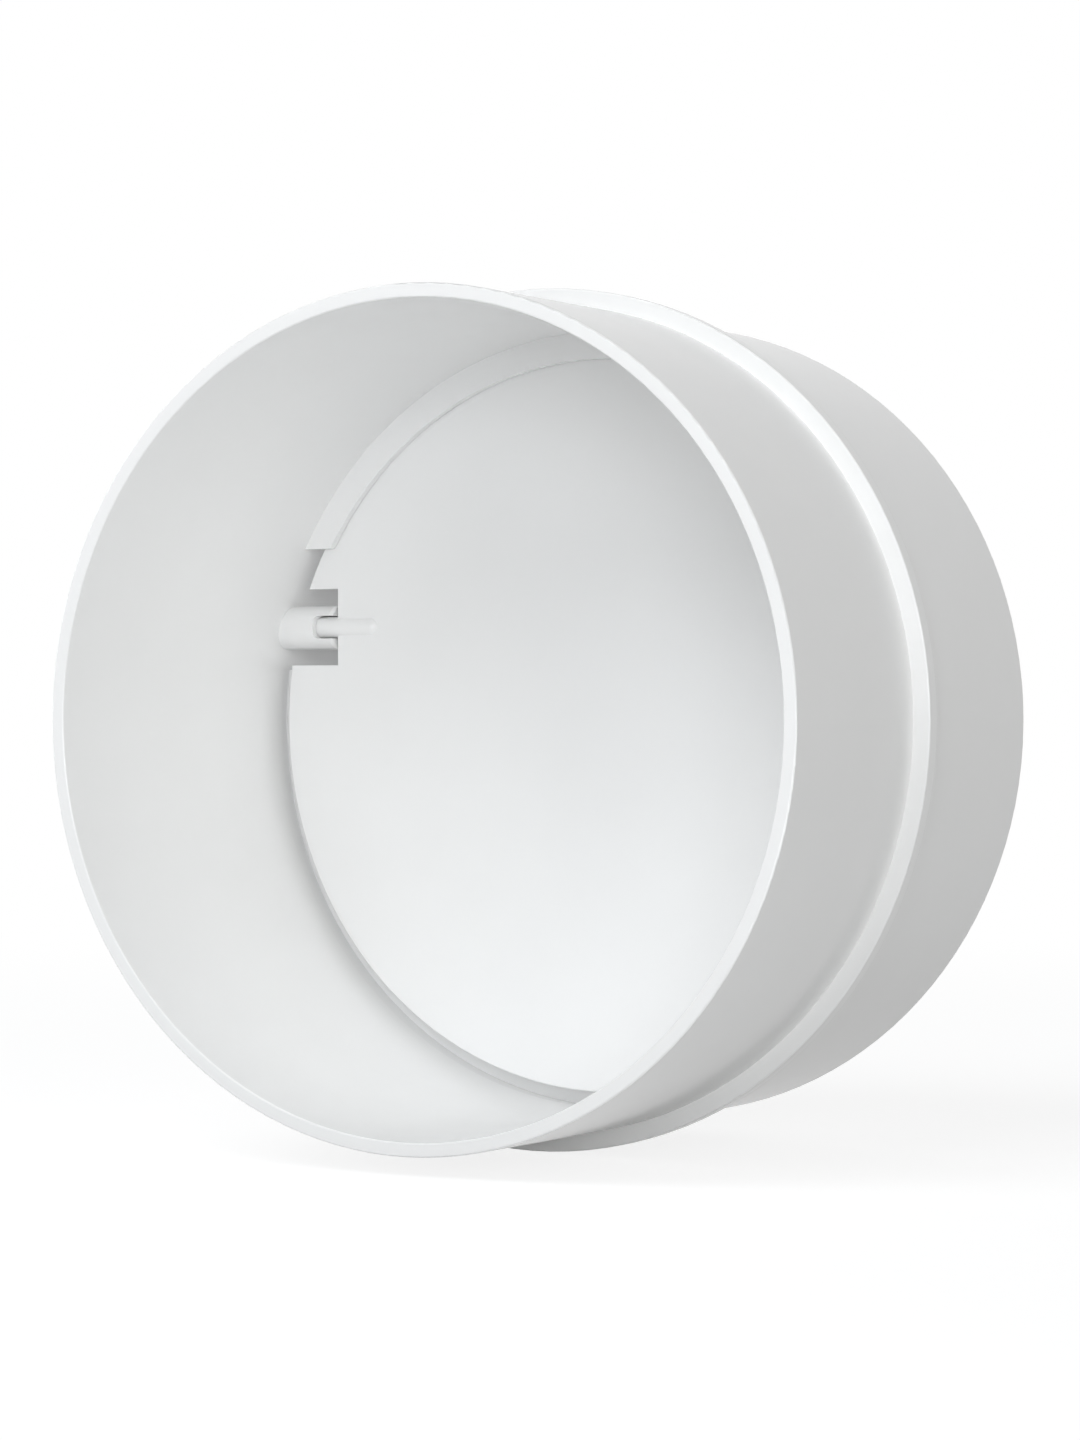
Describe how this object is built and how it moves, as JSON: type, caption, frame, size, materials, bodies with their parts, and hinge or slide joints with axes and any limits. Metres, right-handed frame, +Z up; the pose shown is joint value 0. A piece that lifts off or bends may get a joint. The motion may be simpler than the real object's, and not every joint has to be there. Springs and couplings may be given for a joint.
{
  "type": "duct backdraft damper",
  "caption": "Round duct connector with spigots either side of a stop flange and a hinged gravity flap inside that lets air through one way only.",
  "frame": {"origin": "on the tube axis, in the middle of the stop flange, which is the centre of the part's box", "axes": "+Y along the tube axis to the rear opening, -Y out of the front opening, +Z up, X along the flap's pivot"},
  "size_m": [0.1034, 0.0618, 0.1034],
  "materials": {
    "white_plastic": "satin moulded white plastic"
  },
  "bodies": {
    "sleeve": {"sleeve": "white_plastic"},
    "flap": {"flap": "white_plastic"}
  },
  "joints": [
    {"name": "flap_pivot", "type": "hinge", "parent": "sleeve", "child": "flap", "pos_m": [0, 0.01535, 0.0119], "axis": [-1, 0, 0], "range_deg": [0, 85]}
  ]
}
